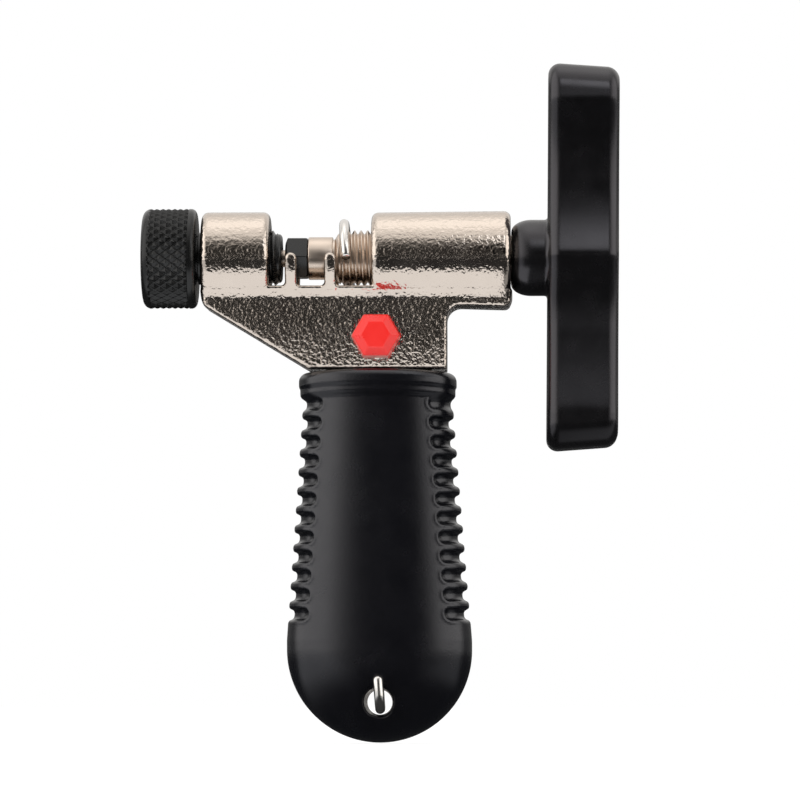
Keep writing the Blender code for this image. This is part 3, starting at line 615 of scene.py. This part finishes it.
CAP_HALF_FLATS, CAP_TOP_HALF_FLATS = 3.95, 2.45
CAP_FLARE = 0.3                             # the sides widen by this much towards the casting
CAP_BEVEL = (1.3, 1.5)                      # depth and width of the slope round the top
CAP_SPIGOT_R, CAP_SPIGOT_LENGTH = 2.9, 2.2
CAP_BORE_R, CAP_WALL = 1.95, 0.7


def cap_field(x, y, z):
    """A bevelled hexagon with a bored spigot behind it."""
    a, b = x - STORE[0], z - STORE[1]
    face, top = CAP_HIGH[1] - CAP_SPIGOT_LENGTH, CAP_LOW[1]
    bevel_depth, bevel_width = CAP_BEVEL
    flare = CAP_FLARE * (y - top - bevel_depth) / (face - top - bevel_depth)
    sides = hexagon(a, b, CAP_HALF_FLATS + flare, 0.25)
    bevel_top = hexagon(a, b, CAP_TOP_HALF_FLATS + (y - top) * bevel_width / bevel_depth, 0.2)
    bevel_top = bevel_top * bevel_depth / math.hypot(*CAP_BEVEL)
    head = rounded_max(sides, np.maximum(top - y, y - face), 0.15)
    head = rounded_max(head, bevel_top, 0.15)
    radial = np.hypot(a, b)
    spigot = rounded_max(radial - CAP_SPIGOT_R, np.maximum(y - CAP_HIGH[1], face - 1 - y), 0.2)
    body = np.minimum(head, spigot)
    return rounded_max(body, -np.maximum(radial - CAP_BORE_R, top + CAP_WALL - y), 0.1)


def make_cap():
    return field_piece("red_hexagon_cap", cap_field, CAP_LOW, CAP_HIGH, VOXELS["cap"])


WIRE_R = 0.95
HOOK_LOOP_R = THREAD_R + WIRE_R + 0.2
HOOK_LOOP_Z = AXIS_Z + 0.1
HOOK_HOLE_Z, HOOK_BEND_R = 6.5, 2.6
HOOK_SHOULDER = ((7.5, 91.0), (8.5, 87.5), (9.7, 81.0), (11.3, 75.0), (12.0, 71.5))
HOOK_LEG_TOP_Z = 66.0
HOOK_TIP = ((0.1, 11.0), (0.2, 12.0), (0.35, 12.9))          # how far back from the front, and how high
HOOK_TURN = -0.028                          # sideways run of the wire through the hole


def smooth_run(points, steps=10):
    """A smooth run through points."""
    points = np.array(points, float)
    padded = np.vstack([2 * points[0] - points[1], points, 2 * points[-1] - points[-2]])
    run = []
    for a, b, c, d in zip(padded, padded[1:], padded[2:], padded[3:]):
        for t in np.arange(steps) / steps:
            run.append(0.5 * (2 * b + (c - a) * t + (2 * a - 5 * b + 4 * c - d) * t * t
                              + (3 * b - a - 3 * c + d) * t ** 3))
    return run + [points[-1]]


def hook_route():
    """Centreline of the hook's wire: over the screw, down the back, through the hanging hole."""
    leg_y, front_y = HOOK_HIGH[1] - WIRE_R, HOOK_LOW[1] + WIRE_R
    run = [(-HOOK_LOOP_R, AXIS_Z - 1.0), (-HOOK_LOOP_R, AXIS_Z - 0.5)]
    run += arc((0, HOOK_LOOP_Z), HOOK_LOOP_R, 176, 8, 32)
    run += [tuple(p) for p in smooth_run([(HOOK_LOOP_R, HOOK_LOOP_Z), *HOOK_SHOULDER, (leg_y, HOOK_LEG_TOP_Z)])]
    run += [(leg_y, z) for z in np.linspace(HOOK_LEG_TOP_Z - 4, 14, 13)]
    run += arc((leg_y - HOOK_BEND_R, HOOK_HOLE_Z + HOOK_BEND_R), HOOK_BEND_R, 0, -90)
    run += arc((front_y + HOOK_BEND_R, HOOK_HOLE_Z + HOOK_BEND_R), HOOK_BEND_R, 270, 180)
    run += [(front_y + back, z) for back, z in HOOK_TIP]
    upper_x = HOOK_LOW[0] + WIRE_R
    points = []
    for y, z in run:
        share = (z - HOOK_HOLE_Z) / (AXIS_Z + 7 - HOOK_HOLE_Z)
        points.append((upper_x * share + HOOK_TURN * y * (1 - share), y, z))
    return np.array(points)


def make_hook(sides=20):
    """A round wire swept along the hook's route, cut at a slant above and rounded below."""
    route = hook_route()
    route = route[np.append(True, np.linalg.norm(np.diff(route, axis=0), axis=1) > 0.05)]
    tangent = np.gradient(route, axis=0)
    tangent /= np.linalg.norm(tangent, axis=1)[:, None]
    side = np.cross(tangent, (1, 0, 0))
    side /= np.linalg.norm(side, axis=1)[:, None]
    other = np.cross(tangent, side)
    slant = np.array((0, -0.5, 0))
    rings = [(route[0] + tangent[0] * (inset + 0.5), WIRE_R * share, 0, 1.1)
             for inset, share in ((0.0, 0.8), (0.06, 0.93), (0.2, 1.0))]
    rings += [(route[i], WIRE_R, i, 0) for i in range(2, len(route) - 2)]
    rings += [(route[-1] - tangent[-1] * WIRE_R * (1 - math.cos(turn)), WIRE_R * math.sin(turn),
               len(route) - 1, 0) for turn in np.radians((90, 70, 50, 30, 12))]
    points = []
    for centre, radius, i, cut in rings:
        for turn in 2 * math.pi * np.arange(sides) / sides:
            out = math.cos(turn) * side[i] + math.sin(turn) * other[i]
            points.append(centre + radius * out + tangent[i] * cut * radius * out.dot(slant))
    faces = [(i * sides + j, i * sides + (j + 1) % sides,
              (i + 1) * sides + (j + 1) % sides, (i + 1) * sides + j)
             for i in range(len(rings) - 1) for j in range(sides)]
    faces += [tuple(range(sides))[::-1], tuple((len(rings) - 1) * sides + j for j in range(sides))]
    piece = mesh_piece("wire_chain_hook", np.array(points), faces)
    bm = bmesh.new()
    bm.from_mesh(piece.data)
    bmesh.ops.recalc_face_normals(bm, faces=bm.faces)
    bm.to_mesh(piece.data)
    bm.free()
    piece.data.set_sharp_from_angle(angle=math.radians(40))
    return piece


# ---------------------------------------------------------------- materials

def add_node(tree, kind, inputs=None, **settings):
    """A node with its settings made and its inputs set or linked."""
    made = tree.nodes.new(kind)
    for key, value in settings.items():
        setattr(made, key, value)
    for key, value in (inputs or {}).items():
        if isinstance(value, bpy.types.NodeSocket):
            tree.links.new(value, made.inputs[key])
        else:
            made.inputs[key].default_value = value
    return made


def material(name, dark, light, roughness, metallic=0.0, patch=0.004, bumps=(), stretch=(1, 1, 1), ior=1.55,
             smoother_above=None, glint=(1, 1, 1), detail=2.0):
    """A material whose colour and roughness vary in soft patches, with layers of fine bump.

    bumps are (size, height) pairs in metres; stretch squeezes the bumps along an axis.
    smoother_above is a height and the share of the bumps that is left above it.
    glint tints the reflections.
    """
    made = bpy.data.materials.new(name)
    made.use_nodes = True
    tree = made.node_tree
    shader = tree.nodes["Principled BSDF"]
    shader.inputs["Metallic"].default_value = metallic
    shader.inputs["IOR"].default_value = ior
    shader.inputs["Specular Tint"].default_value = (*glint, 1)
    place = add_node(tree, "ShaderNodeTexCoord").outputs["Object"]
    patches = add_node(tree, "ShaderNodeTexNoise", {"Vector": place, "Scale": 1 / patch, "Detail": 4.0})
    colour = tree.nodes.new("ShaderNodeMix")
    colour.data_type = "RGBA"
    tree.links.new(patches.outputs["Fac"], colour.inputs["Factor"])
    colour.inputs["A"].default_value = (*dark, 1)
    colour.inputs["B"].default_value = (*light, 1)
    tree.links.new(colour.outputs["Result"], shader.inputs["Base Color"])
    rough = add_node(tree, "ShaderNodeMapRange", {
        "Value": patches.outputs["Fac"], "From Min": 0.3, "From Max": 0.7,
        "To Min": roughness[0], "To Max": roughness[1]})
    tree.links.new(rough.outputs["Result"], shader.inputs["Roughness"])
    scaled = add_node(tree, "ShaderNodeMapping", {"Vector": place, "Scale": stretch}).outputs["Vector"]
    strength = 1.0
    if smoother_above is not None:
        height, left_over = smoother_above
        parts = add_node(tree, "ShaderNodeSeparateXYZ", {"Vector": place})
        strength = add_node(tree, "ShaderNodeMapRange", {
            "Value": parts.outputs["Z"], "From Min": height, "From Max": height + 0.002,
            "To Min": 1.0, "To Max": left_over}).outputs["Result"]
    normal = None
    for size, height in bumps:
        texture = add_node(tree, "ShaderNodeTexNoise", {"Vector": scaled, "Scale": 1 / size, "Detail": detail})
        bump = add_node(tree, "ShaderNodeBump", {"Height": texture.outputs["Fac"], "Distance": height,
                                                 "Strength": strength})
        if normal is not None:
            tree.links.new(normal, bump.inputs["Normal"])
        normal = bump.outputs["Normal"]
    if normal is not None:
        tree.links.new(normal, shader.inputs["Normal"])
    return made


def make_materials():
    return {
        "nickel_casting": material("nickel_over_cast_grain", (0.58, 0.50, 0.435), (0.64, 0.56, 0.49),
                                   (0.10, 0.17), metallic=1.0, bumps=((0.0007, 0.00016), (0.0004, 0.00003)),
                                   detail=1.2, smoother_above=((AXIS_Z - BOSS_R) * MM, 0.7)),
        "grip_black": material("soft_black_sleeve", (0.0012, 0.0013, 0.0025), (0.002, 0.0022, 0.004),
                               (0.22, 0.28), bumps=((0.00035, 0.00002),), glint=(0.97, 0.96, 1.0), ior=1.6),
        "black_steel": material("black_oxide_steel", (0.008, 0.008, 0.008), (0.014, 0.014, 0.014), (0.22, 0.32),
                                metallic=0.2, bumps=((0.0005, 0.00001),)),
        "knob_black": material("satin_black_knurl", (0.003, 0.003, 0.003), (0.005, 0.005, 0.005), (0.24, 0.32),
                               bumps=((0.0004, 0.00001),), ior=1.42),
        "bright_steel": material("turned_bright_steel", (0.60, 0.50, 0.42), (0.68, 0.58, 0.50), (0.24, 0.34),
                                 metallic=1.0, bumps=((0.0002, 0.000006),), stretch=(1, 0.05, 0.05)),
        "handle_black": material("gloss_black_moulding", (0.0012, 0.0012, 0.0014), (0.002, 0.002, 0.0024),
                                 (0.23, 0.29), bumps=((0.0004, 0.000006),), ior=1.6, glint=(0.98, 0.94, 1.0)),
        "cap_red": material("moulded_red", (0.80, 0.010, 0.006), (0.88, 0.016, 0.010), (0.26, 0.34),
                            bumps=((0.0005, 0.000006),)),
        "nickel_wire": material("bright_nickel_wire", (0.72, 0.69, 0.66), (0.80, 0.77, 0.74), (0.16, 0.22),
                                metallic=1.0, bumps=((0.0006, 0.000004),), stretch=(1, 1, 0.1)),
    }


# ---------------------------------------------------------------- assembly

PIECES = (
    (make_casting, "body_casting", "tool_body", "nickel_casting"),
    (make_grip, "grip", "tool_body", "grip_black"),
    (make_adjuster, "adjuster_screw", "adjuster_sleeve", "black_steel"),
    (make_knob, "adjuster_knob", "adjuster_wheel", "knob_black"),
    (make_spindle, "drive_screw", "drive_spindle", "bright_steel"),
    (make_holder, "pin_holder", "drive_spindle", "black_steel"),
    (make_handle, "t_handle", "drive_spindle", "handle_black"),
    (make_drive_pin, "drive_pin", "push_pin", "bright_steel"),
    (make_spare_pin, "spare_pin", "spare_pin_set", "bright_steel"),
    (make_cap, "spare_pin_cap", "spare_pin_set", "cap_red"),
    (make_hook, "chain_hook", "hook", "nickel_wire"),
)


def assemble():
    materials = make_materials()
    for make, node, body, slot in PIECES:
        piece = make()
        piece.data.materials.append(materials[slot])
        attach(piece, body)
        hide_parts(node)


# ---------------------------------------------------------------- studio

VIEW_WIDTH = 155.2 * MM
CAMERA_DISTANCE = 0.9
CAMERA_RISE, CAMERA_TURN = math.radians(-3.7), math.radians(1.6)
VIEW_CENTRE = Vector((3.8 * MM, 0.0, 66.3 * MM))

FLOOR_HALF, FLOOR_DROP = 4.0, 0.0002
FLOOR_COLOUR, FLOOR_GLOW = 0.25, 0.85
FILL_STRENGTH, FILL_SPREAD = 0.65, math.radians(80)
FILL_AIM = (math.radians(52), 0, math.radians(-12))

# Reflection cards in metres: left, right, front, rear, height, and the rear's height where it differs.
BRIGHT_CARD = (-0.06, 0.026, -0.036, -0.006, 0.0722)
DARK_CLOTH = (-2, 2, -3, 3, -0.0001)
HANDLE_PANEL = (0.08, 0.0285, -0.09, -0.0901, 0.1, 0.2)
LOWER_HANDLE_PANEL = (0.06, 0.0285, -0.065, -0.02, 0.0875)
BRIGHT_CARD_LIGHT, CLOTH_LIGHT = 1.2, 0.028

# Soft steps of light: where each starts and ends, and its light at both.  First across the cards, in metres.
CLOTH_LEFT = (-0.012, -0.055, 0.0, 0.7)
CLOTH_RIGHT = (0.030, 0.045, 0.0, 0.35)
CLOTH_FRONT = (-0.11, -0.06, 0.0, 1.0)
CLOTH_LEFT_FRONT = (-0.11, -0.02, 0.0, 1.0)
CLOTH_LEFT_SLANT = -1.6
CLOTH_REAR = (0.01, -0.01, 0.0, 1.0)
HANDLE_PANEL_STEP = (0.126, 0.170, 0.0, 2.2)
LOWER_HANDLE_PANEL_STEP = (-0.056, -0.036, 0.0, 0.9)

# Then over the world's directions, by one component of the direction.
HORIZON_GLOW, GLOW_SIDES = (0.34, 0.52, 0.0, 0.12), (0.25, 0.5, 1.0, 0.15)
CEILING, CEILING_CORE = (0.50, 0.92, 0.0, 1.0), (0.92, 1.0, 0.0, 0.45)
LEFT_LIGHT, RIGHT_LIGHT = (-0.08, -0.70, 0.0, 1.7), (0.36, 0.84, 0.0, 1.6)
SIDES_FADE = (0.0, 0.35, 1.0, 0.1)
BACK_LIGHT, BACK_FADE = (0.1, 0.5, 0.0, 0.88), (0.08, 0.35, 0.15, 1.0)
WORLD_LIGHT = 0.034


def make_camera():
    data = bpy.data.cameras.new("camera")
    data.sensor_width = 36
    data.lens = data.sensor_width * CAMERA_DISTANCE / VIEW_WIDTH
    data.clip_start, data.clip_end = 0.01, 20
    camera = bpy.data.objects.new("camera", data)
    across, up = math.cos(CAMERA_RISE), math.sin(CAMERA_RISE)
    camera.location = VIEW_CENTRE + CAMERA_DISTANCE * Vector(
        (across * math.sin(CAMERA_TURN), -across * math.cos(CAMERA_TURN), up))
    camera.rotation_euler = (math.radians(90) - CAMERA_RISE, 0, CAMERA_TURN)
    bpy.context.scene.collection.objects.link(camera)
    bpy.context.scene.camera = camera


def plane(name, corners):
    mesh = bpy.data.meshes.new(name)
    mesh.from_pydata(corners, [], [(0, 1, 2, 3)])
    made = bpy.data.objects.new(name, mesh)
    bpy.context.scene.collection.objects.link(made)
    return made


def make_floor():
    size = FLOOR_HALF
    floor = plane("floor", [(-size, -size, 0), (size, -size, 0), (size, size, 0), (-size, size, 0)])
    floor.location.z = -FLOOR_DROP
    paint = bpy.data.materials.new("pale_floor")
    paint.use_nodes = True
    shader = paint.node_tree.nodes["Principled BSDF"]
    shader.inputs["Base Color"].default_value = (FLOOR_COLOUR, FLOOR_COLOUR, FLOOR_COLOUR, 1)
    shader.inputs["Emission Color"].default_value = (1, 1, 1, 1)
    shader.inputs["Emission Strength"].default_value = FLOOR_GLOW
    shader.inputs["Roughness"].default_value = 0.9
    shader.inputs["Specular IOR Level"].default_value = 0.0
    floor.data.materials.append(paint)


def make_fill():
    """A soft light from the photographer's side that reaches paint and plastic but makes no reflection."""
    data = bpy.data.lights.new("front_fill", "SUN")
    data.energy = FILL_STRENGTH
    data.angle = FILL_SPREAD
    fill = bpy.data.objects.new("front_fill", data)
    fill.rotation_euler = FILL_AIM
    fill.visible_glossy = False
    bpy.context.scene.collection.objects.link(fill)


def soft_step(tree, value, start, end, low, high):
    """A smooth change from low to high as a value goes from start to end."""
    made = add_node(tree, "ShaderNodeMapRange", {
        "Value": value, "From Min": start, "From Max": end, "To Min": low, "To Max": high},
        interpolation_type="SMOOTHSTEP")
    return made.outputs["Result"]


def math_node(tree, operation, a, b):
    return add_node(tree, "ShaderNodeMath", {0: a, 1: b}, operation=operation).outputs["Value"]


def make_card(name, left, right, front, rear, height, rear_height=None):
    """A card seen only in reflections and only from its upper side; returns its node tree and its light."""
    rear_height = height if rear_height is None else rear_height
    card = plane(name, [(left, front, height), (right, front, height), (right, rear, rear_height),
                        (left, rear, rear_height)])
    paint = bpy.data.materials.new(name)
    paint.use_nodes = True
    tree = paint.node_tree
    tree.nodes.clear()
    above = add_node(tree, "ShaderNodeEmission", {"Color": (0.96, 0.98, 1, 1)})
    below = add_node(tree, "ShaderNodeBsdfTransparent")
    facing = add_node(tree, "ShaderNodeNewGeometry").outputs["Backfacing"]
    mix = add_node(tree, "ShaderNodeMixShader", {0: facing, 1: above.outputs[0], 2: below.outputs[0]})
    add_node(tree, "ShaderNodeOutputMaterial", {"Surface": mix.outputs[0]})
    card.data.materials.append(paint)
    card.visible_camera = False
    card.visible_diffuse = False
    card.visible_shadow = False
    return tree, above


def place_parts(tree):
    """The three coordinates of a card's surface, in metres."""
    place = add_node(tree, "ShaderNodeTexCoord").outputs["Object"]
    return add_node(tree, "ShaderNodeSeparateXYZ", {"Vector": place}).outputs


def light_cloth(tree, cloth):
    """Makes the cloth over the floor dark, but lighter to both sides in front of the tool."""
    parts = place_parts(tree)
    left = soft_step(tree, parts["X"], *CLOTH_LEFT)
    right = soft_step(tree, parts["X"], *CLOTH_RIGHT)
    front = soft_step(tree, parts["Y"], *CLOTH_FRONT)
    slant = math_node(tree, "MULTIPLY", parts["X"], CLOTH_LEFT_SLANT)
    left_front = soft_step(tree, math_node(tree, "ADD", parts["Y"], slant), *CLOTH_LEFT_FRONT)
    sides = math_node(tree, "ADD", math_node(tree, "MULTIPLY", left, left_front),
                      math_node(tree, "MULTIPLY", right, front))
    ahead = soft_step(tree, parts["Y"], *CLOTH_REAR)
    light = math_node(tree, "ADD", math_node(tree, "MULTIPLY", sides, ahead), CLOTH_LIGHT)
    tree.links.new(light, cloth.inputs["Strength"])


def make_cards():
    """A bright card below the bosses, a dark cloth over the floor, and two panels in front of the T-handle."""
    bright = make_card("bright_card", *BRIGHT_CARD)[1]
    bright.inputs["Strength"].default_value = BRIGHT_CARD_LIGHT
    light_cloth(*make_card("dark_cloth", *DARK_CLOTH))
    tree, panel = make_card("handle_panel", *HANDLE_PANEL)
    tree.links.new(soft_step(tree, place_parts(tree)["Z"], *HANDLE_PANEL_STEP), panel.inputs["Strength"])
    tree, panel = make_card("lower_handle_panel", *LOWER_HANDLE_PANEL)
    tree.links.new(soft_step(tree, place_parts(tree)["Y"], *LOWER_HANDLE_PANEL_STEP), panel.inputs["Strength"])


def make_world():
    """White to the camera; in reflections a bright ceiling, side lights and a dark photographer's side."""
    world = bpy.data.worlds.new("studio")
    world.use_nodes = True
    bpy.context.scene.world = world
    tree = world.node_tree
    tree.nodes.clear()
    direction = add_node(tree, "ShaderNodeTexCoord").outputs["Generated"]
    parts = add_node(tree, "ShaderNodeSeparateXYZ", {"Vector": direction}).outputs
    x, y, z = parts["X"], parts["Y"], parts["Z"]
    offset = add_node(tree, "ShaderNodeMath", {0: x}, operation="ABSOLUTE").outputs["Value"]
    glow = math_node(tree, "MULTIPLY", soft_step(tree, z, *HORIZON_GLOW), soft_step(tree, offset, *GLOW_SIDES))
    ceiling = math_node(tree, "ADD", soft_step(tree, z, *CEILING), soft_step(tree, z, *CEILING_CORE))
    sides = math_node(tree, "MAXIMUM", soft_step(tree, x, *LEFT_LIGHT), soft_step(tree, x, *RIGHT_LIGHT))
    sides = math_node(tree, "MULTIPLY", sides, soft_step(tree, y, *SIDES_FADE))
    back = math_node(tree, "MULTIPLY", soft_step(tree, y, *BACK_LIGHT), soft_step(tree, z, *BACK_FADE))
    around = math_node(tree, "MAXIMUM", math_node(tree, "ADD", glow, ceiling),
                       math_node(tree, "MAXIMUM", sides, back))
    light = math_node(tree, "ADD", around, WORLD_LIGHT)
    seen = add_node(tree, "ShaderNodeLightPath").outputs["Is Camera Ray"]
    studio = add_node(tree, "ShaderNodeBackground", {"Color": (1.0, 0.985, 0.96, 1), "Strength": light})
    white = add_node(tree, "ShaderNodeBackground", {"Color": (1, 1, 1, 1), "Strength": 1.0})
    mix = add_node(tree, "ShaderNodeMixShader", {0: seen, 1: studio.outputs[0], 2: white.outputs[0]})
    add_node(tree, "ShaderNodeOutputWorld", {"Surface": mix.outputs[0]})


assemble()
make_camera()
make_floor()
make_fill()
make_cards()
make_world()
bpy.context.scene.view_settings.view_transform = "Standard"
